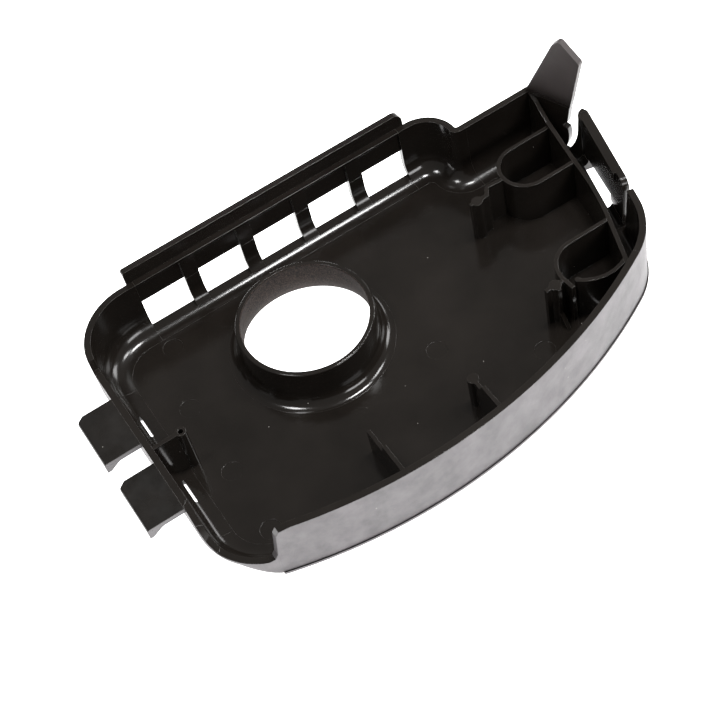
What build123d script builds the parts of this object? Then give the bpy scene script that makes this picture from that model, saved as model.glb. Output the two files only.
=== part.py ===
from build123d import *
import math
import os

os.makedirs("parts", exist_ok=True)

# Air filter housing cover, one injection moulding, millimetres.
# Origin: on the intake collar's axis, at the cover's outer face (z = 0). The tray opens towards +Z.
# +X runs along the louvred back wall to the latch end, +Y points to the back wall.

# ---- tray
WALL = 2.0
FLOOR = 2.0
RIM_Z = 22.0
OUTER_ROUND = 8.0
COVE = OUTER_ROUND - WALL
END_COVE = 2.0
PANEL_INSET = 9.0
BIG = 300.0

# ---- plan outline (outer faces)
LEFT_X = -59.5
REAR_Y = 38.0
CORNER_R = 20.0
STEP_X = 71.5
STEP_R = 11.0
STEP_FOOT_R = 0.8
REAR_RIGHT_Y = 26.2
TONGUE_X = 98.3
APEX = (106.0, 6.2)
FRONT_C = (3.9, 100.0)
FRONT_END_ANGLE = 302.7
SKIRT_CORNER_R = 25.0
CORNER_C = (LEFT_X + CORNER_R, -40.76)
FRONT_R = CORNER_R + math.hypot(FRONT_C[0] - CORNER_C[0], FRONT_C[1] - CORNER_C[1])

# ---- lower rim on the left
LEFT_RIM_Z = 18.3
LEFT_RIM_Y = 19.3
LOW_RIM_Z = 7.5
CORNER_CUT_ANGLE = 216.0

# ---- where the round on the lower edge fades out, by angle round the front left corner
FADE_ANGLES = (220.0, 228.0, 236.0, 244.0, 254.0)
FADE_RADII = (7.9, 6.5, 4.6, 2.5, 0.4)

# ---- intake collar
BORE_R = 19.0
BORE_Z0 = 10.0
BELL_MOUTH_R = 22.2
COLLAR_RIM_R = 20.6
COLLAR_RIM_Z = 14.6
COLLAR_FOOT_R = 25.1
COLLAR_FILLET = 4.0
COLLAR_EDGE_R = 0.4

# ---- louvred back wall
WINDOW_COUNT = 5
WINDOW_PITCH = 19.5
WINDOW_W = 14.7
WINDOW_X0 = -35.6
WINDOW_Z0 = 2.7
WINDOW_Z1 = 13.2
WINDOW_TOP_R = 1.2
RECESS = 0.9
RECESS_Z0 = 9.2
RECESS_Z1 = 21.2
FLANGE_X0 = -37.5
FLANGE_X1 = 60.0
FLANGE_Z0 = 20.0
FLANGE_Z1 = 27.0
FLANGE_T = 2.0

# ---- latch arm: stations are run along the latch face from the apex, negative towards the skirt
ARM_REAR = -0.3
ARM_FRONT_TOP = -31.5
ARM_FRONT_FOOT = -29.5
ARM_CORNER_R = 3.0
ARM_REAR_LEG = -3.5
ARM_FRONT_LEG = -20.9
ARM_SLOT_Z = (4.3, 6.6)
SLOT_W = 2.4
HINGE_Z = 3.7
HINGE_R = 1.0
HINGE_CLEAR = 0.05
FOOT_TOP_Z = 3.35
FOOT_WINDOW_U = 3.5
FOOT_WINDOW_FRONT = -21.8
BAR_FRONT = -26.2
BAR_W = 2.9
BAR_HEAD = -2.9
BAR_HEAD_W = 3.3
BAR_Z0 = 18.6

# ---- hooks on the left end
HOOK_OUT_X = -71.1
HOOK_T = 1.8
HOOK_LIP = 1.2
HOOK_DROP = 2.2
HOOK_RAMP = 3.2
HOOK_CHAMFER = (2.2, 1.5)
HOOKS_Y = ((-11.2, 7.4), (-37.0, -19.0))
CORE_SLOT_X = -54.4
CORE_SLOT_Y = (4.3, -22.8)
CORE_SLOT = (8.6, 0.8)

# ---- ribs and pockets on the floor
RIB_T = 1.2
END_RIB_T = 1.3
POCKET_Z = 17.5
REAR_POST_R = 1.75
FRONT_POST_R = 1.8
PIN_MARK_R = 3.15
PIN_MARK_DEPTH = 0.12
PIN_MARKS = ((-34.4, 24.8), (-40.8, 2.3), (-41.3, -24.0), (-41.8, -46.9), (27.5, -25.5), (51.9, -44.9))


def radial(angle, radius):
    """Point on a circle round the front skirt's centre."""
    return (
        FRONT_C[0] + radius * math.cos(math.radians(angle)),
        FRONT_C[1] + radius * math.sin(math.radians(angle)),
    )


# ---- directions worked out from the outline
CORNER_ANGLE = 180 + math.degrees(math.atan2(FRONT_C[1] - CORNER_C[1], FRONT_C[0] - CORNER_C[0]))
SKIRT_END = radial(FRONT_END_ANGLE, FRONT_R)
LATCH_LEN = math.hypot(APEX[0] - SKIRT_END[0], APEX[1] - SKIRT_END[1])
ALONG = ((APEX[0] - SKIRT_END[0]) / LATCH_LEN, (APEX[1] - SKIRT_END[1]) / LATCH_LEN, 0)
INBOARD = (-ALONG[1], ALONG[0], 0)
TONGUE_LEN = math.hypot(APEX[0] - TONGUE_X, APEX[1] - REAR_RIGHT_Y)
TONGUE_RUN = ((APEX[0] - TONGUE_X) / TONGUE_LEN, (APEX[1] - REAR_RIGHT_Y) / TONGUE_LEN, 0)
TONGUE_IN = (TONGUE_RUN[1], -TONGUE_RUN[0], 0)

# sketches on these two planes are side views of the end faces, with z upwards
latch_face = Plane(origin=(APEX[0], APEX[1], 0), x_dir=ALONG, z_dir=(-INBOARD[0], -INBOARD[1], 0))
tongue_face = Plane(origin=(TONGUE_X, REAR_RIGHT_Y, 0), x_dir=TONGUE_RUN, z_dir=TONGUE_IN)


def latch_cut(station, u):
    """Plan point at a station along the latch face, u inboard of it."""
    return (
        APEX[0] + station * ALONG[0] + u * INBOARD[0],
        APEX[1] + station * ALONG[1] + u * INBOARD[1],
    )


def latch_plane(station):
    """A section plane across the latch end: x is u inboard, y is z up, and it faces the apex."""
    start = latch_cut(station, 0)
    return Plane(origin=(start[0], start[1], 0), x_dir=INBOARD, z_dir=ALONG)


def near(items, x, y):
    """The vertex closest to a sketch point."""
    return items.vertices().sort_by_distance((x, y, 0))[0]


# ---- plan shapes
with BuildSketch() as plan:
    with BuildLine():
        Line((LEFT_X, CORNER_C[1]), (LEFT_X, REAR_Y - CORNER_R))
        CenterArc((LEFT_X + CORNER_R, REAR_Y - CORNER_R), CORNER_R, 180, -90)
        Polyline(
            (LEFT_X + CORNER_R, REAR_Y),
            (STEP_X, REAR_Y),
            (STEP_X, REAR_RIGHT_Y),
            (TONGUE_X, REAR_RIGHT_Y),
            APEX,
            SKIRT_END,
        )
        CenterArc(FRONT_C, FRONT_R, FRONT_END_ANGLE, CORNER_ANGLE - FRONT_END_ANGLE)
        CenterArc(CORNER_C, CORNER_R, CORNER_ANGLE, 180 - CORNER_ANGLE)
    make_face()
    fillet(near(plan, STEP_X, REAR_Y), STEP_R)
    fillet(near(plan, STEP_X, REAR_RIGHT_Y), STEP_FOOT_R)
    fillet(near(plan, SKIRT_END[0], SKIRT_END[1]), SKIRT_CORNER_R)

with BuildSketch() as inner_plan:
    add(plan.sketch)
    offset(amount=-WALL, kind=Kind.INTERSECTION, mode=Mode.REPLACE)

with BuildSketch() as panel_plan:
    add(plan.sketch)
    offset(amount=-PANEL_INSET, kind=Kind.INTERSECTION, mode=Mode.REPLACE)


def zone(points, z0=-1.0, z1=BIG):
    """A tall prism over a plan polygon, used to share the moulding out into its features."""
    with BuildPart() as prism:
        with BuildSketch(Plane.XY.offset(z0)):
            with BuildLine():
                Polyline(*points, close=True)
            make_face()
        extrude(amount=z1 - z0)
    return prism.part


# ---- the outer body: rounded along the lower edge everywhere but on the skirt and the latch end
SPLIT_OUT = radial(CORNER_ANGLE, FRONT_R + 40)
SPLIT_IN = radial(CORNER_ANGLE, 20)
FADE_OUT = (
    CORNER_C[0] + 3 * CORNER_R * math.cos(math.radians(FADE_ANGLES[0])),
    CORNER_C[1] + 3 * CORNER_R * math.sin(math.radians(FADE_ANGLES[0])),
)
left_zone = zone([FADE_OUT, CORNER_C, SPLIT_IN, (-BIG, SPLIT_IN[1]), (-BIG, FADE_OUT[1])])
right_zone = zone([FADE_OUT, CORNER_C, SPLIT_IN, (BIG, SPLIT_IN[1]), (BIG, FADE_OUT[1])])


def line_gap(point, start, angle):
    """How far a plan point is from a line through start, in mm."""
    turn = math.radians(angle)
    return abs((point.Y - start[1]) * math.cos(turn) - (point.X - start[0]) * math.sin(turn))


def off_split(edge):
    """True for an edge away from the cut between the left and right bodies."""
    mid = edge @ 0.5
    return min(line_gap(mid, FRONT_C, CORNER_ANGLE), line_gap(mid, CORNER_C, FADE_ANGLES[0])) > 0.1


def on_rear(edge):
    """True for an edge along the back of the tray."""
    mid = edge @ 0.5
    return mid.Y > REAR_Y - CORNER_R and mid.X < TONGUE_X


with BuildPart() as left_body:
    with BuildSketch():
        add(plan.sketch)
    extrude(amount=RIM_Z)
    add(left_zone, mode=Mode.INTERSECT)
    fillet(left_body.faces().sort_by(Axis.Z)[0].edges().filter_by(off_split), OUTER_ROUND)

with BuildPart() as right_body:
    with BuildSketch():
        add(plan.sketch)
    extrude(amount=RIM_Z)
    add(right_zone, mode=Mode.INTERSECT)
    lower_edges = right_body.faces().sort_by(Axis.Z)[0].edges().filter_by(off_split)
    fillet(lower_edges.filter_by(on_rear), OUTER_ROUND)

# ---- the lower edge's round fades out across the front left corner, towards the skirt
with BuildPart() as edge_fade:
    for fade_angle, fade_r in zip(FADE_ANGLES, FADE_RADII):
        fade_out = (math.cos(math.radians(fade_angle)), math.sin(math.radians(fade_angle)), 0)
        fade_plane = Plane(origin=(*CORNER_C, 0), x_dir=fade_out, z_dir=(fade_out[1], -fade_out[0], 0))
        with BuildSketch(fade_plane):
            with BuildLine():
                Polyline(
                    (CORNER_R - fade_r, 0),
                    (CORNER_R - fade_r, -1),
                    (CORNER_R + 1, -1),
                    (CORNER_R + 1, fade_r),
                    (CORNER_R, fade_r),
                )
                CenterArc((CORNER_R - fade_r, fade_r), fade_r, -90, 90)
            make_face()
    loft()

# ---- the cavity: its lower edge is the cove that runs round the tray's floor
with BuildPart() as cavity:
    with BuildSketch(Plane.XY.offset(FLOOR)):
        add(inner_plan.sketch)
    extrude(amount=RIM_Z)
    fillet(cavity.faces().sort_by(Axis.Z)[0].edges(), COVE)

# ---- centre line of the rib inside the latch end, and the channel that lies outboard of it
with BuildLine() as end_line:
    Line((97.75, 25.5), (92.7, -8.7))
    ThreePointArc((92.7, -8.7), (90.89, -18.05), (88.2, -27.2))
    Line((88.2, -27.2), (80.2, -50.0))

with BuildPart() as end_zone:
    with BuildSketch():
        with BuildLine():
            add(end_line.line)
            Polyline((80.2, -50.0), (150, -50.0), (150, 25.5), (97.75, 25.5))
        make_face()
    extrude(amount=BIG)

with BuildPart() as channel:
    with BuildSketch(Plane.XY.offset(FLOOR)):
        add(inner_plan.sketch)
    extrude(amount=RIM_Z)
    fillet(channel.faces().sort_by(Axis.Z)[0].edges(), END_COVE)
    add(end_zone.part, mode=Mode.INTERSECT)

with BuildPart() as hollow:
    add(cavity.part)
    add(channel.part)

# ---- where the rim falls away round the front left corner
CORNER_OUT = (math.cos(math.radians(CORNER_CUT_ANGLE)), math.sin(math.radians(CORNER_CUT_ANGLE)), 0)
corner_plane = Plane(
    origin=(CORNER_C[0], CORNER_C[1], 0),
    x_dir=(-CORNER_OUT[1], CORNER_OUT[0], 0),
    z_dir=CORNER_OUT,
)

# ---- the whole moulding, before it is shared out
with BuildPart() as tray:
    add(left_body.part)
    add(right_body.part)
    add(edge_fade.part, mode=Mode.SUBTRACT)
    add(hollow.part, mode=Mode.SUBTRACT)
    # windows through the back wall
    with BuildSketch(Plane.XZ.offset(-REAR_Y - 1)) as windows:
        with Locations((WINDOW_X0 + 2 * WINDOW_PITCH + WINDOW_W / 2, (WINDOW_Z0 + WINDOW_Z1) / 2)):
            with GridLocations(WINDOW_PITCH, 1, WINDOW_COUNT, 1):
                Rectangle(WINDOW_W, WINDOW_Z1 - WINDOW_Z0)
        fillet(windows.vertices().group_by(Axis.Y)[-1], WINDOW_TOP_R)
    extrude(amount=OUTER_ROUND + WALL, mode=Mode.SUBTRACT)
    # shallow recesses over the windows leave the posts standing proud
    with BuildSketch(Plane.XY.offset(RECESS_Z0)):
        with Locations((WINDOW_X0 + 2 * WINDOW_PITCH + WINDOW_W / 2, REAR_Y - WALL + RECESS / 2)):
            with GridLocations(WINDOW_PITCH, 1, WINDOW_COUNT, 1):
                Rectangle(WINDOW_W, RECESS)
    extrude(amount=RECESS_Z1 - RECESS_Z0, mode=Mode.SUBTRACT)
    # lower rim along the hooks
    with BuildSketch(Plane.YZ.offset(LEFT_X - 5)):
        with BuildLine():
            Polyline(
                (-48, LEFT_RIM_Z),
                (LEFT_RIM_Y, LEFT_RIM_Z),
                (LEFT_RIM_Y + 1.2, RIM_Z + 1),
                (-48, RIM_Z + 1),
                close=True,
            )
        make_face()
    extrude(amount=15, mode=Mode.SUBTRACT)
    # the rim falls away round the front left corner
    with BuildSketch(corner_plane):
        with BuildLine():
            Polyline(
                (-15.5, LEFT_RIM_Z),
                (-8.5, LOW_RIM_Z + 2.7),
                (-5.0, LOW_RIM_Z + 0.3),
                (0, LOW_RIM_Z),
                (9, LOW_RIM_Z),
                (9, RIM_Z + 8),
                (-15.5, RIM_Z + 8),
                close=True,
            )
        make_face()
    extrude(amount=2 * CORNER_R, mode=Mode.SUBTRACT)
    # and rises again to the skirt's left end
    with BuildSketch(Plane.XZ.offset(50)):
        with BuildLine():
            Polyline(
                (-52, LOW_RIM_Z),
                (-48, LOW_RIM_Z),
                (-46.2, 8.4),
                (-45.2, 10.5),
                (-44.7, 14),
                (-44.0, 19.5),
                (-43.0, 21.2),
                (-39.7, RIM_Z),
                (-39.7, RIM_Z + 8),
                (-52, RIM_Z + 8),
                close=True,
            )
        make_face()
    extrude(amount=25, mode=Mode.SUBTRACT)
    # relief slot through the tongue wall: a crescent that closes at the floor
    with BuildSketch(tongue_face.offset(-2)):
        with BuildLine():
            Polyline((16.4, RIM_Z + 0.5), (15.2, 15.5), (13.5, 14.2), (13.5, 13.1), (15.2, 12.6))
            ThreePointArc((15.2, 12.6), (15.3, 8.0), (13.0, FLOOR))
            Line((13.0, FLOOR), (14.0, FLOOR))
            ThreePointArc((14.0, FLOOR), (17.2, 7.3), (18.8, 13.5))
            Polyline((18.8, 13.5), (19.4, RIM_Z + 0.5), (16.4, RIM_Z + 0.5))
        make_face()
    extrude(amount=WALL + END_COVE + 2.5, mode=Mode.SUBTRACT)
    # relief slot between the latch arm and the skirt
    with BuildSketch(latch_face.offset(4)):
        with BuildLine():
            Polyline(
                (ARM_FRONT_FOOT, FLOOR),
                (ARM_FRONT_TOP, RIM_Z),
                (ARM_FRONT_TOP, RIM_Z + 1),
                (ARM_FRONT_TOP - SLOT_W, RIM_Z + 1),
                (ARM_FRONT_TOP - SLOT_W, RIM_Z),
                (ARM_FRONT_FOOT - SLOT_W, FLOOR),
                close=True,
            )
        make_face()
    extrude(amount=-14, mode=Mode.SUBTRACT)
    # the latch arm's own wall stands on a foot, so the tray stops below it
    with BuildSketch(latch_face.offset(4)):
        with BuildLine():
            Polyline(
                (0, FOOT_TOP_Z),
                (0, RIM_Z + 1),
                (ARM_FRONT_TOP - SLOT_W / 2, RIM_Z + 1),
                (ARM_FRONT_TOP - SLOT_W / 2, RIM_Z),
                (ARM_FRONT_FOOT - SLOT_W / 2, FOOT_TOP_Z),
                close=True,
            )
        make_face()
    extrude(amount=-14, mode=Mode.SUBTRACT)
    with BuildSketch(latch_plane(ARM_FRONT_FOOT - 1)):
        with Locations((HINGE_R, HINGE_Z)):
            Circle(HINGE_R + HINGE_CLEAR)
    extrude(amount=-ARM_FRONT_FOOT + 1, mode=Mode.SUBTRACT)
    # opening under the latch arm
    with BuildSketch(latch_plane(FOOT_WINDOW_FRONT)):
        with Locations((FOOT_WINDOW_U / 2 - 2, FLOOR)):
            Rectangle(FOOT_WINDOW_U + 4, 4 * FLOOR)
    extrude(amount=ARM_REAR_LEG - FOOT_WINDOW_FRONT, mode=Mode.SUBTRACT)
    # core slots through the curved foot, one below each hook
    with BuildSketch(Plane.XY.offset(-1)):
        with Locations((CORE_SLOT_X, CORE_SLOT_Y[0]), (CORE_SLOT_X, CORE_SLOT_Y[1])):
            SlotOverall(CORE_SLOT[0], CORE_SLOT[1], rotation=90)
    extrude(amount=12, mode=Mode.SUBTRACT)

with BuildPart() as panel_prism:
    with BuildSketch(Plane.XY.offset(-1)):
        add(panel_plan.sketch)
    extrude(amount=FLOOR + 2)

with BuildPart() as ring:
    add(tray.part)
    add(panel_prism.part, mode=Mode.SUBTRACT)

# ---- plan zones that share the ring out, going round from the back wall
GRILLE_X0 = WINDOW_X0
GRILLE_X1 = WINDOW_X0 + (WINDOW_COUNT - 1) * WINDOW_PITCH + WINDOW_W
ZONE_IN_Y = REAR_Y - CORNER_R
ZONE_OUT_Y = 60.0
ZONE_OUT_X = -90.0
STEP_X1 = 74.0
SKIRT_END_ANGLE = 299.0
MITRE_IN = (90.97, 15.5)
MITRE_OUT = (101.1, 30.3)
SKIRT_STATION = ARM_FRONT_FOOT - SLOT_W / 2

rear_zone = [(GRILLE_X0, ZONE_IN_Y), (GRILLE_X1, ZONE_IN_Y), (GRILLE_X1, ZONE_OUT_Y), (GRILLE_X0, ZONE_OUT_Y)]
sill_zone = zone(rear_zone, -1, WINDOW_Z0)
header_zone = zone(rear_zone, WINDOW_Z1, BIG)
rear_left_zone = zone(
    [(GRILLE_X0, ZONE_IN_Y), (GRILLE_X0, ZONE_OUT_Y), (ZONE_OUT_X, ZONE_OUT_Y), (ZONE_OUT_X, ZONE_IN_Y)]
)
left_wall_zone = zone(
    [(CORNER_C[0], ZONE_IN_Y), (ZONE_OUT_X, ZONE_IN_Y), (ZONE_OUT_X, CORNER_C[1]), CORNER_C]
)
front_left_zone = zone([CORNER_C, (ZONE_OUT_X, CORNER_C[1]), (ZONE_OUT_X, SPLIT_OUT[1]), SPLIT_OUT])
skirt_zone = [
    radial(CORNER_ANGLE, 120),
    radial(CORNER_ANGLE, 240),
    radial(SKIRT_END_ANGLE, 240),
    radial(SKIRT_END_ANGLE, 120),
]
corner_zone = [
    radial(SKIRT_END_ANGLE, 120),
    radial(SKIRT_END_ANGLE, 240),
    latch_cut(SKIRT_STATION, -60),
    latch_cut(SKIRT_STATION, 16),
]
front_zone = zone(skirt_zone)
front_right_zone = zone(corner_zone)
bead_zone = zone(skirt_zone[:3] + corner_zone[2:] + skirt_zone[3:])
step_zone = zone([(GRILLE_X1, 8), (STEP_X1, 8), (STEP_X1, ZONE_OUT_Y), (GRILLE_X1, ZONE_OUT_Y)])
rear_right_zone = zone([(STEP_X1, MITRE_IN[1]), MITRE_IN, MITRE_OUT, (STEP_X1, MITRE_OUT[1])])
tongue_zone = zone([MITRE_IN, MITRE_OUT, (130, 30), latch_cut(0, -20), latch_cut(0, 16)])
foot_zone = zone(
    [latch_cut(0, -20), latch_cut(0, 16), latch_cut(SKIRT_STATION, 16), latch_cut(SKIRT_STATION, -20)]
)

# ---- floor panel
with BuildPart() as floor_panel:
    with BuildSketch():
        add(panel_plan.sketch)
        Circle(COLLAR_FOOT_R, mode=Mode.SUBTRACT)
    extrude(amount=FLOOR)
    # ejector pin marks
    with BuildSketch(Plane.XY.offset(FLOOR - PIN_MARK_DEPTH)):
        with Locations(*PIN_MARKS):
            Circle(PIN_MARK_R)
    extrude(amount=1, mode=Mode.SUBTRACT)
floor_panel.part.label = "floor_panel"
export_step(floor_panel.part, "parts/floor_panel.step")

# ---- intake collar: a bell-mouthed ring with a filleted foot
with BuildPart() as bore_collar:
    with BuildSketch(Plane.XZ):
        with BuildLine():
            Line((COLLAR_FOOT_R, FLOOR), (COLLAR_FOOT_R, 0))
            Line((COLLAR_FOOT_R, 0), (BELL_MOUTH_R, 0))
            TangentArc((BORE_R, BORE_Z0), (BELL_MOUTH_R, 0), tangent=(0, -1))
            Line((BORE_R, BORE_Z0), (BORE_R, COLLAR_RIM_Z))
            Line((BORE_R, COLLAR_RIM_Z), (COLLAR_RIM_R, COLLAR_RIM_Z))
            Line((COLLAR_RIM_R, COLLAR_RIM_Z), (COLLAR_FOOT_R - COLLAR_FILLET, FLOOR + COLLAR_FILLET))
            RadiusArc(
                (COLLAR_FOOT_R - COLLAR_FILLET, FLOOR + COLLAR_FILLET),
                (COLLAR_FOOT_R, FLOOR),
                -COLLAR_FILLET,
            )
        make_face()
    revolve(axis=Axis.Z)
    fillet(bore_collar.edges().group_by(Axis.Z)[-1], COLLAR_EDGE_R)
bore_collar.part.label = "bore_collar"
export_step(bore_collar.part, "parts/bore_collar.step")

# ---- louvred back wall
with BuildPart() as grille_sill:
    add(ring.part)
    add(sill_zone, mode=Mode.INTERSECT)
grille_sill.part.label = "grille_sill"
export_step(grille_sill.part, "parts/grille_sill.step")

with BuildPart() as grille_header:
    add(ring.part)
    add(header_zone, mode=Mode.INTERSECT)
grille_header.part.label = "grille_header"
export_step(grille_header.part, "parts/grille_header.step")

for index in range(WINDOW_COUNT - 1):
    post_x0 = WINDOW_X0 + WINDOW_W + index * WINDOW_PITCH
    post_x1 = WINDOW_X0 + (index + 1) * WINDOW_PITCH
    post_points = [(post_x0, ZONE_IN_Y), (post_x1, ZONE_IN_Y), (post_x1, ZONE_OUT_Y), (post_x0, ZONE_OUT_Y)]
    post_zone = zone(post_points, WINDOW_Z0, WINDOW_Z1)
    with BuildPart() as grille_post:
        add(ring.part)
        add(post_zone, mode=Mode.INTERSECT)
    grille_post.part.label = f"grille_post_{index + 1}"
    export_step(grille_post.part, f"parts/grille_post_{index + 1}.step")

with BuildPart() as rear_flange:
    with BuildSketch(Plane.XZ.offset(-REAR_Y - FLANGE_T)) as flange_face:
        with BuildLine():
            Polyline(
                (FLANGE_X0, FLANGE_Z0),
                (FLANGE_X1, FLANGE_Z0),
                (FLANGE_X1, FLANGE_Z1),
                (FLANGE_X0, FLANGE_Z1),
                close=True,
            )
        make_face()
        fillet(near(flange_face, FLANGE_X1, FLANGE_Z1), 3)
        fillet(near(flange_face, FLANGE_X0, FLANGE_Z1), 1)
    extrude(amount=FLANGE_T)
rear_flange.part.label = "rear_flange"
export_step(rear_flange.part, "parts/rear_flange.step")

# ---- walls, going round from the rear left corner
with BuildPart() as rear_left_corner:
    add(ring.part)
    add(rear_left_zone, mode=Mode.INTERSECT)
rear_left_corner.part.label = "rear_left_corner"
export_step(rear_left_corner.part, "parts/rear_left_corner.step")

with BuildPart() as left_wall:
    add(ring.part)
    add(left_wall_zone, mode=Mode.INTERSECT)
left_wall.part.label = "left_wall"
export_step(left_wall.part, "parts/left_wall.step")

with BuildPart() as front_left_corner:
    add(ring.part)
    add(front_left_zone, mode=Mode.INTERSECT)
front_left_corner.part.label = "front_left_corner"
export_step(front_left_corner.part, "parts/front_left_corner.step")

with BuildPart() as front_skirt:
    add(ring.part)
    add(front_zone, mode=Mode.INTERSECT)
front_skirt.part.label = "front_skirt"
export_step(front_skirt.part, "parts/front_skirt.step")

with BuildPart() as front_right_corner:
    add(ring.part)
    add(front_right_zone, mode=Mode.INTERSECT)
front_right_corner.part.label = "front_right_corner"
export_step(front_right_corner.part, "parts/front_right_corner.step")

with BuildPart() as rear_step_corner:
    add(ring.part)
    add(step_zone, mode=Mode.INTERSECT)
rear_step_corner.part.label = "rear_step_corner"
export_step(rear_step_corner.part, "parts/rear_step_corner.step")

with BuildPart() as rear_right_wall:
    add(ring.part)
    add(rear_right_zone, mode=Mode.INTERSECT)
rear_right_wall.part.label = "rear_right_wall"
export_step(rear_right_wall.part, "parts/rear_right_wall.step")

with BuildPart() as tongue_wall:
    add(ring.part)
    add(tongue_zone, mode=Mode.INTERSECT)
tongue_wall.part.label = "tongue_wall"
export_step(tongue_wall.part, "parts/tongue_wall.step")

with BuildPart() as latch_foot:
    add(ring.part)
    add(foot_zone, mode=Mode.INTERSECT)
latch_foot.part.label = "latch_foot"
export_step(latch_foot.part, "parts/latch_foot.step")

# ---- pull tongue, standing on the tongue wall
with BuildPart() as pull_tongue:
    with BuildSketch(tongue_face) as tongue_outline:
        with BuildLine():
            Polyline((0.3, RIM_Z), (11.6, 46.2), (14.1, 48.9), (20.9, 42.5), (16.4, RIM_Z), close=True)
        make_face()
        fillet(near(tongue_outline, 14.1, 48.9), 1.2)
        fillet(near(tongue_outline, 20.9, 42.5), 1.2)
    extrude(amount=WALL)
pull_tongue.part.label = "pull_tongue"
export_step(pull_tongue.part, "parts/pull_tongue.step")

# ---- latch arm: a springy wall with a thick top bar, seated on its foot by two round roots
with BuildPart() as latch_arm:
    with BuildSketch(latch_face) as arm_outline:
        with BuildLine():
            Polyline(
                (ARM_FRONT_FOOT, HINGE_Z),
                (ARM_FRONT_TOP, RIM_Z),
                (ARM_REAR, RIM_Z),
                (ARM_REAR, HINGE_Z),
                (ARM_REAR_LEG, HINGE_Z),
                (ARM_REAR_LEG, ARM_SLOT_Z[0]),
                (ARM_FRONT_LEG, ARM_SLOT_Z[1]),
                (ARM_FRONT_LEG, HINGE_Z),
                close=True,
            )
        make_face()
        fillet(near(arm_outline, ARM_FRONT_TOP, RIM_Z), ARM_CORNER_R)
    extrude(amount=-WALL)
    with BuildSketch(latch_plane(BAR_FRONT)):
        with Locations((BAR_W / 2, (BAR_Z0 + RIM_Z) / 2)):
            Rectangle(BAR_W, RIM_Z - BAR_Z0)
    extrude(amount=ARM_REAR - BAR_FRONT)
    with BuildSketch(latch_plane(BAR_HEAD)):
        with Locations((BAR_HEAD_W / 2, (BAR_Z0 + RIM_Z) / 2)):
            Rectangle(BAR_HEAD_W, RIM_Z - BAR_Z0)
    extrude(amount=ARM_REAR - BAR_HEAD)
    for root_front, root_rear in ((ARM_FRONT_FOOT, ARM_FRONT_LEG), (ARM_REAR_LEG, ARM_REAR)):
        with BuildSketch(latch_plane(root_front)):
            with Locations((HINGE_R, HINGE_Z)):
                Circle(HINGE_R)
        extrude(amount=root_rear - root_front)
latch_arm.part.label = "latch_arm"
export_step(latch_arm.part, "parts/latch_arm.step")

# ---- bead along the skirt's lower edge
BEAD = 0.4
BEAD_H = 1.0
with BuildPart() as skirt_bead:
    with BuildSketch():
        add(plan.sketch)
        offset(amount=BEAD, kind=Kind.INTERSECTION, mode=Mode.REPLACE)
        add(plan.sketch, mode=Mode.SUBTRACT)
    extrude(amount=BEAD_H)
    add(bead_zone, mode=Mode.INTERSECT)
skirt_bead.part.label = "skirt_bead"
export_step(skirt_bead.part, "parts/skirt_bead.step")

# ---- hooks on the left end: flat plates with a turned-down lip on a short ramp
for hook_name, (hook_y0, hook_y1) in zip(("hook_rear", "hook_front"), HOOKS_Y):
    with BuildPart() as hook:
        with BuildSketch(Plane.XZ.offset(-hook_y1)) as side:
            with BuildLine():
                Polyline(
                    (LEFT_X, LEFT_RIM_Z),
                    (HOOK_OUT_X, LEFT_RIM_Z),
                    (HOOK_OUT_X, LEFT_RIM_Z - HOOK_T - HOOK_DROP),
                    (HOOK_OUT_X + HOOK_LIP, LEFT_RIM_Z - HOOK_T - HOOK_DROP),
                    (HOOK_OUT_X + HOOK_LIP + HOOK_RAMP, LEFT_RIM_Z - HOOK_T),
                    (LEFT_X, LEFT_RIM_Z - HOOK_T),
                    close=True,
                )
            make_face()
            fillet(near(side, HOOK_OUT_X, LEFT_RIM_Z), 0.8)
            fillet(near(side, HOOK_OUT_X + HOOK_LIP + HOOK_RAMP, LEFT_RIM_Z - HOOK_T), 3.0)
        extrude(amount=hook_y1 - hook_y0)
        with BuildSketch():
            with BuildLine():
                Polyline(
                    (HOOK_OUT_X, hook_y1),
                    (HOOK_OUT_X, hook_y1 - HOOK_CHAMFER[1]),
                    (HOOK_OUT_X + HOOK_CHAMFER[0], hook_y1),
                    close=True,
                )
            make_face()
        extrude(amount=RIM_Z, mode=Mode.SUBTRACT)
    hook.part.label = hook_name
    export_step(hook.part, f"parts/{hook_name}.step")

# ---- rib on the left wall, ending in a small cored boss
BOSS = (-48.6, -14.6)
BOSS_R = 1.6
BOSS_CORE_R = 0.8
BOSS_CORE_DEPTH = 4.0
with BuildPart() as left_rib:
    with BuildSketch(Plane.XY.offset(FLOOR)):
        with BuildLine():
            Line((LEFT_X, BOSS[1]), BOSS)
        trace(line_width=RIB_T)
        with Locations(BOSS):
            Circle(BOSS_R)
    extrude(amount=LEFT_RIM_Z - FLOOR)
    add(cavity.part, mode=Mode.INTERSECT)
    with BuildSketch(Plane.XY.offset(LEFT_RIM_Z)):
        with Locations(BOSS):
            Circle(BOSS_CORE_R)
    extrude(amount=-BOSS_CORE_DEPTH, mode=Mode.SUBTRACT)
left_rib.part.label = "left_rib"
export_step(left_rib.part, "parts/left_rib.step")

# ---- end rib: a curved wall inside the latch end, highest at the rear corner
with BuildPart() as end_rib:
    with BuildSketch(Plane.XY.offset(FLOOR)):
        add(end_line.line)
        trace(line_width=END_RIB_T)
    extrude(amount=RIM_Z - FLOOR)
    with BuildSketch(Plane.YZ.offset(70)):
        with BuildLine():
            Polyline(
                (26, RIM_Z - 0.3),
                (20, RIM_Z - 0.9),
                (13, 18.7),
                (-2, POCKET_Z),
                (-60, POCKET_Z),
                (-60, RIM_Z + 8),
                (26, RIM_Z + 8),
                close=True,
            )
        make_face()
    extrude(amount=50, mode=Mode.SUBTRACT)
    add(hollow.part, mode=Mode.INTERSECT)
end_rib.part.label = "end_rib"
export_step(end_rib.part, "parts/end_rib.step")

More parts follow.
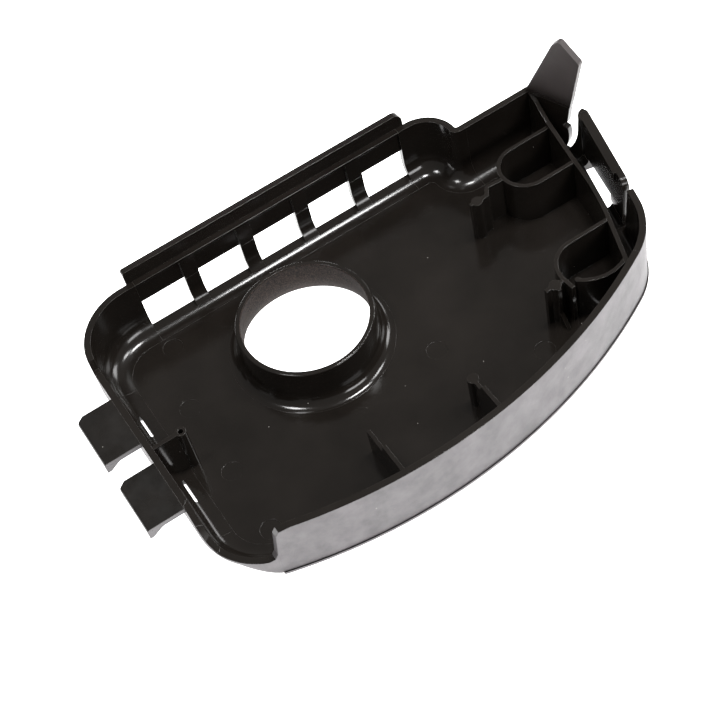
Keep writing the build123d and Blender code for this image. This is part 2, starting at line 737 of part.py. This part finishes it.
# ---- rear pocket: a U of ribs closed by the end rib
REAR_POCKET_Y = (12.1, -4.0)
REAR_POCKET_R = (REAR_POCKET_Y[0] - REAR_POCKET_Y[1]) / 2
REAR_POCKET_BEND = 81.25
with BuildPart() as rear_pocket:
    with BuildSketch(Plane.XY.offset(FLOOR)):
        with BuildLine():
            Line((95.8, REAR_POCKET_Y[0]), (REAR_POCKET_BEND, REAR_POCKET_Y[0]))
            CenterArc((REAR_POCKET_BEND, sum(REAR_POCKET_Y) / 2), REAR_POCKET_R, 90, 180)
            Line((REAR_POCKET_BEND, REAR_POCKET_Y[1]), (93.4, REAR_POCKET_Y[1]))
        trace(line_width=RIB_T)
    extrude(amount=POCKET_Z - FLOOR)
    add(end_rib.part, mode=Mode.SUBTRACT)
rear_pocket.part.label = "rear_pocket"
export_step(rear_pocket.part, "parts/rear_pocket.step")

# ---- front pocket: an upper wall with a rounded end, and a separate bowed lower wall
with BuildPart() as front_pocket_upper:
    with BuildSketch(Plane.XY.offset(FLOOR)):
        with BuildLine():
            Line((87.9, -28.0), (73.8, -28.0))
            CenterArc((73.8, -37.0), 9.0, 90, 90)
            Line((64.8, -37.0), (65.2, -41.8))
        trace(line_width=RIB_T)
    extrude(amount=POCKET_Z - FLOOR)
    add(end_rib.part, mode=Mode.SUBTRACT)
front_pocket_upper.part.label = "front_pocket_upper"
export_step(front_pocket_upper.part, "parts/front_pocket_upper.step")

with BuildPart() as front_pocket_lower:
    with BuildSketch(Plane.XY.offset(FLOOR)):
        with BuildLine():
            ThreePointArc((67.7, -40.4), (73.6, -43.7), (82.7, -42.6))
        trace(line_width=RIB_T)
        with Locations((67.8, -40.2)):
            Circle(0.8)
    extrude(amount=POCKET_Z - FLOOR)
    add(end_rib.part, mode=Mode.SUBTRACT)
    add(hollow.part, mode=Mode.INTERSECT)
front_pocket_lower.part.label = "front_pocket_lower"
export_step(front_pocket_lower.part, "parts/front_pocket_lower.step")

# ---- rear post: a column in a short cranked rib that butts against the rear pocket
with BuildPart() as rear_post:
    with BuildSketch(Plane.XY.offset(FLOOR)):
        with BuildLine():
            Polyline((73.6, 3.9), (67.4, 4.4), (65.6, 1.7), (59.7, 1.7))
        trace(line_width=RIB_T)
        with Locations((62.1, 1.7)):
            Circle(REAR_POST_R)
    extrude(amount=POCKET_Z - FLOOR)
    add(rear_pocket.part, mode=Mode.SUBTRACT)
rear_post.part.label = "rear_post"
export_step(rear_post.part, "parts/rear_post.step")

# ---- front post: a column with a short rib, and a fin that slopes down to the floor
FRONT_POST = (61.7, -37.9)
FRONT_POST_LEFT = 58.3
with BuildPart() as front_post:
    with BuildSketch(Plane.XY.offset(FLOOR)):
        with BuildLine():
            Line((FRONT_POST_LEFT, FRONT_POST[1]), (65.0, FRONT_POST[1]))
        trace(line_width=RIB_T)
        with Locations(FRONT_POST):
            Circle(FRONT_POST_R)
    extrude(amount=POCKET_Z - FLOOR)
    with BuildSketch(Plane.YZ.offset(FRONT_POST[0] - RIB_T / 2)):
        with BuildLine():
            Polyline(
                (FRONT_POST[1], FLOOR),
                (FRONT_POST[1], POCKET_Z),
                (-40.2, POCKET_Z),
                (-40.2, 6.5),
                (-43.6, FLOOR),
                close=True,
            )
        make_face()
    extrude(amount=RIB_T)
    add(front_pocket_upper.part, mode=Mode.SUBTRACT)
front_post.part.label = "front_post"
export_step(front_post.part, "parts/front_post.step")

# ---- gussets behind the skirt
LEFT_GUSSET_X = -5.5
RIGHT_GUSSET = (26.5, -47.5)
with BuildPart() as gusset_left:
    with BuildSketch(Plane.YZ.offset(LEFT_GUSSET_X - RIB_T / 2)):
        with BuildLine():
            Polyline(
                (-43.0, FLOOR),
                (-43.0, 12.5),
                (-51.0, 12.5),
                (-52.2, 16.2),
                (-66.0, 16.2),
                (-66.0, FLOOR),
                close=True,
            )
        make_face()
    extrude(amount=RIB_T)
    add(cavity.part, mode=Mode.INTERSECT)
gusset_left.part.label = "gusset_left"
export_step(gusset_left.part, "parts/gusset_left.step")

with BuildPart() as gusset_right:
    with BuildSketch(Plane.YZ.offset(RIGHT_GUSSET[0] - RIB_T / 2)):
        with BuildLine():
            Polyline(
                (RIGHT_GUSSET[1], FLOOR),
                (RIGHT_GUSSET[1], 13.9),
                (-51.6, 13.9),
                (-53.0, 16.4),
                (-65.0, 16.4),
                (-65.0, FLOOR),
                close=True,
            )
        make_face()
    extrude(amount=RIB_T)
    with BuildSketch(Plane.XY.offset(FLOOR)):
        with Locations(RIGHT_GUSSET):
            Circle(REAR_POST_R)
    extrude(amount=13.9 - FLOOR)
    add(cavity.part, mode=Mode.INTERSECT)
gusset_right.part.label = "gusset_right"
export_step(gusset_right.part, "parts/gusset_right.step")
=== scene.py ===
import math

import bpy
from mathutils import Euler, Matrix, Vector


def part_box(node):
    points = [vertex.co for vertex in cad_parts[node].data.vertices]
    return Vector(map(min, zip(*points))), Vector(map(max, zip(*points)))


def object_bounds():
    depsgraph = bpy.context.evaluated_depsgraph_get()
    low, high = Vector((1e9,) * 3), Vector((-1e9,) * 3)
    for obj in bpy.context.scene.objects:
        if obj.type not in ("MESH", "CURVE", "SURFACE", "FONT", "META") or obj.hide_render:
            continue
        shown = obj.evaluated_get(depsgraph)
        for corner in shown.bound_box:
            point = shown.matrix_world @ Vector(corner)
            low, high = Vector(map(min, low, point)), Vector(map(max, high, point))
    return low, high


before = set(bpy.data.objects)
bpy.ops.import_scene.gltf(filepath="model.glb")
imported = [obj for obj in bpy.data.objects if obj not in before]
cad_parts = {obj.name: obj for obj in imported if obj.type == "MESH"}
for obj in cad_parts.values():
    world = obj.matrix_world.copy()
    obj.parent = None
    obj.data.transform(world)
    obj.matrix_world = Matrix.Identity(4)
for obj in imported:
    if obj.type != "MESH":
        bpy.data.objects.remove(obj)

cad_low, cad_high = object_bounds()

MM = 0.001

# ---------------------------------------------------------------- linear colours
# a pair is the darker and the lighter end of a clouded tone
GLOSS = ((0.0098, 0.0080, 0.0066), (0.0172, 0.0142, 0.0120))
GLOSS_WORN = (0.075, 0.068, 0.062)
MATTE = ((0.050, 0.0455, 0.048), (0.118, 0.108, 0.114))
MATTE_FOOT_WEAR_AND_HIGHLIGHT = (0.150, 0.140, 0.145)
HOOK = ((0.0065, 0.0055, 0.0046), (0.0120, 0.0102, 0.0088))
HOOK_SIDE_FINISH_AND_LIGHT = (0.084, 0.077, 0.081)
HOOK_WORN = (0.11, 0.10, 0.09)
BORE = ((0.0020, 0.0014, 0.0012), (0.046, 0.030, 0.024))
TONGUE = ((0.052, 0.044, 0.044), (0.085, 0.073, 0.072))
TONGUE_ROOT_GLOSS_AND_SHADE = (0.018, 0.0150, 0.0130)
TONGUE_WORN = (0.20, 0.18, 0.18)
DUST = (0.42, 0.40, 0.37)
TABLE = ((0.88, 0.88, 0.88), (0.94, 0.94, 0.94))
SKY = (1.0, 0.97, 0.94)

# ---------------------------------------------------------------- where a finish starts and ends
# parts of a face's own direction, from -1 to 1: away from the middle, along Z, and along Y squared
FACES_OUT = (0.25, 0.45)
FACES_DOWN = (-0.75, -0.35)
FACES_UP = (0.35, 0.6)
FACES_SIDEWAYS_SQUARED = (0.25, 0.81)
# cosines between a face and its rounded-off direction, from a flat to an edge
EDGE_TURN = (0.98, 0.75)
# heights over which the outer grey's paler lower edge, partly wear and partly painted highlight, fades
# out
FOOT_Z = (0.6 * MM, 2.2 * MM)
# a cone just outside the bore's wall, up to the height where the wall is straight
BORE_Z = (0, 10 * MM)
BORE_RADIUS = (22.6 * MM, 19.3 * MM)
# heights above the tray's rim over which the tongue turns from a dark root, partly painted shade, to
# dull grey
TONGUE_FADE = (-0.5 * MM, 6 * MM)

# ---------------------------------------------------------------- floor, light and camera settings
TABLE_SIZE = 6
TABLE_GAP = 0.5 * MM
TABLE_GLOW = 2.2
SKY_STRENGTH = 0.235
LIGHT_DISTANCE = 0.9
# each light's direction from the object, its width and height in metres, and its watts
LIGHTS = {
    "over_left": ((-0.35, 0.03, 0.93), (0.17, 0.15), 2.2),
    "over_right": ((0.50, -0.10, 0.86), (0.13, 0.18), 1.5),
    "over_sill": ((0.23, -0.01, 0.96), (0.12, 0.15), 3.0),
    "right_low": ((0.92, 0.10, 0.36), (0.36, 0.30), 2.6),
    "right_back": ((0.75, 0.50, 0.33), (0.20, 0.16), 0.5),
    "front_window": ((0.30, -0.80, 0.50), (0.40, 0.20), 2.2),
}
CAMERA_AT = Vector((-87.26, -280.66, 390.52)) * MM
CAMERA_TURN = Euler([math.radians(a) for a in (35.061, 8.950, -32.147)], "XYZ")
CAMERA_LENS = 82.57
CAMERA_SENSOR = 36


# ---------------------------------------------------------------- node helpers
class Look:
    """A material's node tree, with short calls for the nodes that the plastics share."""

    def __init__(self, name):
        self.mat = bpy.data.materials.new(name)
        self.mat.use_nodes = True
        self.tree = self.mat.node_tree
        self.tree.nodes.clear()
        out = self.add("ShaderNodeOutputMaterial")
        self.bsdf = self.add("ShaderNodeBsdfPrincipled")
        self.link(self.bsdf.outputs["BSDF"], out.inputs["Surface"])
        self.coord = self.add("ShaderNodeTexCoord").outputs["Object"]

    def add(self, kind):
        return self.tree.nodes.new(kind)

    def link(self, source, target):
        self.tree.links.new(source, target)

    def noise(self, scale, detail, rough, stretch=(1, 1, 1)):
        """Noise from 0 to 1, in cycles per metre, squeezed along an axis by a larger stretch."""
        mapping = self.add("ShaderNodeMapping")
        mapping.inputs["Scale"].default_value = stretch
        self.link(self.coord, mapping.inputs["Vector"])
        tex = self.add("ShaderNodeTexNoise")
        tex.inputs["Scale"].default_value = scale
        tex.inputs["Detail"].default_value = detail
        tex.inputs["Roughness"].default_value = rough
        self.link(mapping.outputs["Vector"], tex.inputs["Vector"])
        return tex.outputs["Fac"]

    def remap(self, value, source, target=(0, 1), smooth=False):
        """Turn one range of values into another, and hold it at the ends."""
        node = self.add("ShaderNodeMapRange")
        if smooth:
            node.interpolation_type = "SMOOTHSTEP"
        for key, number in zip(("From Min", "From Max", "To Min", "To Max"), (*source, *target)):
            node.inputs[key].default_value = number
        self.link(value, node.inputs["Value"])
        return node.outputs["Result"]

    def math(self, operation, first, second):
        """One maths node, each operand a number or a socket."""
        node = self.add("ShaderNodeMath")
        node.operation = operation
        for index, item in enumerate((first, second)):
            if isinstance(item, (int, float)):
                node.inputs[index].default_value = item
            else:
                self.link(item, node.inputs[index])
        return node.outputs["Value"]

    def vector(self, operation, first, second=None):
        """One vector maths node, each operand a tuple or a socket."""
        node = self.add("ShaderNodeVectorMath")
        node.operation = operation
        for index, item in enumerate((first, second)):
            if isinstance(item, tuple):
                node.inputs[index].default_value = item
            elif item is not None:
                self.link(item, node.inputs[index])
        return node.outputs["Value" if operation in ("DOT_PRODUCT", "LENGTH") else "Vector"]

    def mix(self, factor, first, second):
        """Mix two colours, each a tuple or a socket."""
        node = self.add("ShaderNodeMix")
        node.data_type = "RGBA"
        sockets = [s for s in node.inputs if s.type == "RGBA"]
        self.link(factor, node.inputs["Factor"])
        for socket, item in zip(sockets, (first, second)):
            if isinstance(item, tuple):
                socket.default_value = (*item, 1)
            else:
                self.link(item, socket)
        return [s for s in node.outputs if s.type == "RGBA"][0]

    def component(self, vector, name):
        node = self.add("ShaderNodeSeparateXYZ")
        self.link(vector, node.inputs["Vector"])
        return node.outputs[name]

    def axis(self, name):
        """One coordinate of the point, in metres."""
        return self.component(self.coord, name)

    def in_plan(self, vector):
        """A vector with its height taken out."""
        return self.vector("MULTIPLY", vector, (1, 1, 0))

    def face(self):
        """The direction that the surface itself faces, before any smoothing."""
        return self.add("ShaderNodeNewGeometry").outputs["True Normal"]

    def facing(self, name):
        """One component of the surface's own direction, from -1 to 1."""
        return self.component(self.face(), name)

    def outward(self, centre):
        """How far a wall's face looks away from a point in plan: positive outside, negative inside."""
        arm = self.in_plan(self.vector("SUBTRACT", self.coord, centre))
        return self.vector("DOT_PRODUCT", self.vector("NORMALIZE", arm), self.face())

    def specks(self, scale, size, share):
        """Small round specks: a mask of 0 or 1, in some of the cells of a Voronoi pattern."""
        tex = self.add("ShaderNodeTexVoronoi")
        tex.inputs["Scale"].default_value = scale
        self.link(self.coord, tex.inputs["Vector"])
        pick = self.add("ShaderNodeSeparateColor")
        self.link(tex.outputs["Color"], pick.inputs["Color"])
        near = self.math("LESS_THAN", tex.outputs["Distance"], size)
        chosen = self.math("LESS_THAN", pick.outputs["Red"], share)
        return self.math("MULTIPLY", near, chosen)

    def edges(self, radius):
        """A rounded-edge normal, and a mask that is 1 on edges and 0 on flats."""
        bevel = self.add("ShaderNodeBevel")
        bevel.samples = 4
        bevel.inputs["Radius"].default_value = radius
        rounded = bevel.outputs["Normal"]
        smooth = self.add("ShaderNodeNewGeometry").outputs["Normal"]
        return rounded, self.remap(self.vector("DOT_PRODUCT", rounded, smooth), EDGE_TURN)

    def shade(self, color, rough, relief, depth, normal):
        """Give the shader its colour, its roughness and a bump from the relief, and end the material."""
        bump = self.add("ShaderNodeBump")
        bump.inputs["Strength"].default_value = depth
        bump.inputs["Distance"].default_value = 0.2 * MM
        self.link(relief, bump.inputs["Height"])
        self.link(normal, bump.inputs["Normal"])
        self.link(color, self.bsdf.inputs["Base Color"])
        self.link(rough, self.bsdf.inputs["Roughness"])
        self.link(bump.outputs["Normal"], self.bsdf.inputs["Normal"])
        return self.mat


# ---------------------------------------------------------------- what the plastics share
def flow_clouds(look):
    """The gloss plastic's brown-black, faintly clouded by the melt's flow."""
    cloud = look.noise(scale=38, detail=5, rough=0.6)
    return look.mix(look.remap(cloud, (0.35, 0.7)), *GLOSS)


def shine(look):
    """The gloss plastic's roughness, smeared along the tray."""
    smear = look.noise(scale=16, detail=3, rough=0.5, stretch=(1, 2.2, 1))
    return look.remap(smear, (0.35, 0.7), (0.10, 0.20))


def rubbed(look, edge, color):
    """A colour worn pale along the edges, more in some places than in others."""
    patches = look.remap(look.noise(scale=300, detail=3, rough=0.6), (0.35, 0.6), (0.2, 0.8))
    return look.mix(look.math("MULTIPLY", edge, patches), color, GLOSS_WORN)


def dusty(look, color, amount):
    """Fine pale dust specks over a colour."""
    fine = look.specks(scale=230, size=0.032, share=amount)
    coarse = look.specks(scale=90, size=0.018, share=amount)
    return look.mix(look.math("MAXIMUM", fine, coarse), color, DUST)


# ---------------------------------------------------------------- the plastics
def gloss_interior():
    """Glossy brown-black moulding: flow clouds, a faint orange peel, worn edges and dust."""
    look = Look("moulded_gloss")
    normal, edge = look.edges(radius=0.35 * MM)
    color = dusty(look, rubbed(look, edge, flow_clouds(look)), amount=0.25)
    peel = look.noise(scale=900, detail=2, rough=0.5)
    return look.shade(color, shine(look), peel, 0.045, normal)


def shell_plastic(name, middle, edge_radius):
    """A wall of the tray: spark-eroded and pale outside, glossy inside and along its rim."""
    look = Look(name)
    up = look.facing("Z")
    outside = look.remap(look.outward(middle), FACES_OUT)
    below = look.remap(up, FACES_DOWN, (1, 0))
    not_rim = look.remap(up, FACES_UP, (1, 0))
    matte = look.math("MULTIPLY", look.math("MAXIMUM", outside, below), not_rim)
    glossy = look.math("SUBTRACT", 1.0, matte)
    # outside: cloudy grey with upright streaks, paler towards the lower edge, partly wear and partly a
    # painted highlight
    cloud = look.noise(scale=120, detail=6, rough=0.65)
    streak = look.noise(scale=140, detail=4, rough=0.6, stretch=(1, 1, 0.16))
    tone = look.math("ADD", look.math("MULTIPLY", cloud, 0.6), look.math("MULTIPLY", streak, 0.4))
    grey = look.mix(look.remap(tone, (0.38, 0.60)), *MATTE)
    foot = look.remap(look.axis("Z"), FOOT_Z, (0.6, 0), smooth=True)
    grey = look.mix(foot, grey, MATTE_FOOT_WEAR_AND_HIGHLIGHT)
    satin = look.math("MULTIPLY", look.remap(streak, (0.3, 0.7), (0.40, 0.54)), matte)
    # inside: the same glossy brown-black as the ribs
    normal, edge = look.edges(edge_radius)
    dark = rubbed(look, edge, flow_clouds(look))
    shiny = look.math("MULTIPLY", shine(look), glossy)
    color = dusty(look, look.mix(matte, dark, grey), amount=0.25)
    spark = look.noise(scale=3200, detail=2, rough=0.6)
    grain = look.math("MULTIPLY", spark, look.remap(matte, (0, 1), (0.15, 1)))
    return look.shade(color, look.math("ADD", satin, shiny), grain, 0.26, normal)


def satin_hook():
    """The hooks' satin brown-black, with a paler grey on their two sides, partly the walls' matte finish
    and partly painted light, and paler edges.
    """
    look = Look("moulded_hook")
    cloud = look.noise(scale=90, detail=5, rough=0.65)
    color = look.mix(look.remap(cloud, (0.35, 0.65)), *HOOK)
    # the paler sides are partly the walls' matte grey and partly painted light standing for lit side
    # faces
    across = look.facing("Y")
    sides = look.remap(look.math("MULTIPLY", across, across), FACES_SIDEWAYS_SQUARED)
    color = look.mix(sides, color, HOOK_SIDE_FINISH_AND_LIGHT)
    normal, edge = look.edges(radius=0.35 * MM)
    color = look.mix(look.math("MULTIPLY", edge, 0.5), color, HOOK_WORN)
    rough = look.remap(look.noise(scale=200, detail=3, rough=0.6), (0.3, 0.7), (0.24, 0.36))
    grain = look.noise(scale=2600, detail=2, rough=0.6)
    return look.shade(dusty(look, color, amount=0.3), rough, grain, 0.10, normal)


def collar_plastic():
    """The gloss plastic with a dull, grainy bore."""
    look = Look("moulded_collar")
    radius = look.vector("LENGTH", look.in_plan(look.coord))
    bore = look.math("LESS_THAN", radius, look.remap(look.axis("Z"), BORE_Z, BORE_RADIUS))
    normal, edge = look.edges(radius=0.3 * MM)
    gloss = look.mix(look.math("MULTIPLY", edge, 0.5), flow_clouds(look), GLOSS_WORN)
    grain = look.noise(scale=2200, detail=4, rough=0.8)
    dull = look.mix(look.remap(grain, (0.42, 0.62)), *BORE)
    color = dusty(look, look.mix(bore, gloss, dull), amount=0.2)
    rough = look.remap(bore, (0, 1), (0.12, 1))
    relief = look.math("MULTIPLY", grain, look.remap(bore, (0, 1), (0.05, 1)))
    return look.shade(color, rough, relief, 0.35, normal)


def tongue_plastic(rim_z):
    """Glossy and dark at its root, partly painted shade from the tray's walls, and dull grey above the
    tray's rim.
    """
    look = Look("moulded_tongue")
    fade = [rim_z + above for above in TONGUE_FADE]
    dull = look.remap(look.axis("Z"), fade, smooth=True)
    cloud = look.noise(scale=40, detail=4, rough=0.6)
    grey = look.mix(look.remap(cloud, (0.3, 0.7)), *TONGUE)
    normal, edge = look.edges(radius=0.4 * MM)
    # the darker root is partly the gloss finish and partly painted shade from the tray's walls
    color = look.mix(dull, TONGUE_ROOT_GLOSS_AND_SHADE, grey)
    color = look.mix(look.math("MULTIPLY", edge, 0.55), color, TONGUE_WORN)
    streak = look.noise(scale=70, detail=3, rough=0.6, stretch=(1, 1, 0.15))
    uneven = look.remap(streak, (0.3, 0.7), (-0.03, 0.05))
    rough = look.math("ADD", look.remap(dull, (0, 1), (0.24, 0.46)), uneven)
    grain = look.noise(scale=3000, detail=2, rough=0.6)
    return look.shade(dusty(look, color, amount=0.12), rough, grain, 0.18, normal)


# ---------------------------------------------------------------- which piece has which plastic
middle = tuple((Vector(cad_low) + Vector(cad_high)) / 2)
rim_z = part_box("tongue_wall")[1][2]
gloss = gloss_interior()
shell = shell_plastic("moulded_shell", middle, edge_radius=0.24 * MM)
hook = satin_hook()

SHELL_NODES = (
    "front_skirt", "front_right_corner", "skirt_bead", "front_left_corner",
    "left_wall", "rear_left_corner", "grille_sill", "rear_step_corner", "rear_right_wall",
    "tongue_wall", "latch_foot", "latch_arm",
)
NODE_LOOK = {name: shell for name in SHELL_NODES}
NODE_LOOK["floor_panel"] = shell_plastic("moulded_panel", middle, edge_radius=0.16 * MM)
NODE_LOOK["hook_rear"] = NODE_LOOK["hook_front"] = hook
NODE_LOOK["bore_collar"] = collar_plastic()
NODE_LOOK["pull_tongue"] = tongue_plastic(rim_z)
for name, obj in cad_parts.items():
    for slot in obj.material_slots:
        slot.material = NODE_LOOK.get(name, gloss)

# ---------------------------------------------------------------- floor
table = Look("pale_table")
tone = table.mix(table.noise(scale=6, detail=3, rough=0.5), *TABLE)
table.link(tone, table.bsdf.inputs["Base Color"])
table.link(tone, table.bsdf.inputs["Emission Color"])
table.bsdf.inputs["Emission Strength"].default_value = TABLE_GLOW
table.bsdf.inputs["Roughness"].default_value = 0.7
bpy.ops.mesh.primitive_plane_add(size=TABLE_SIZE, location=(0, 0, cad_low[2] - TABLE_GAP))
floor = bpy.context.object
floor.name = "table"
floor.data.materials.append(table.mat)

# ---------------------------------------------------------------- light
world = bpy.data.worlds.new("studio")
bpy.context.scene.world = world
world.use_nodes = True
world.node_tree.nodes["Background"].inputs["Color"].default_value = (*SKY, 1)
world.node_tree.nodes["Background"].inputs["Strength"].default_value = SKY_STRENGTH


def softbox(name, toward, size, power):
    """A rectangular area light in a given direction from the object, facing it."""
    data = bpy.data.lights.new(name, "AREA")
    data.shape = "RECTANGLE"
    data.size, data.size_y = size
    data.energy = power
    obj = bpy.data.objects.new(name, data)
    bpy.context.scene.collection.objects.link(obj)
    direction = Vector(toward).normalized()
    obj.location = direction * LIGHT_DISTANCE
    obj.rotation_euler = (-direction).to_track_quat("-Z", "Y").to_euler()


for name, (toward, size, power) in LIGHTS.items():
    softbox(name, toward, size, power)

# ---------------------------------------------------------------- camera
cam_data = bpy.data.cameras.new("camera")
cam_data.lens = CAMERA_LENS
cam_data.sensor_width = CAMERA_SENSOR
cam = bpy.data.objects.new("camera", cam_data)
bpy.context.scene.collection.objects.link(cam)
cam.location = CAMERA_AT
cam.rotation_euler = CAMERA_TURN
bpy.context.scene.camera = cam
bpy.context.scene.view_settings.view_transform = "Standard"
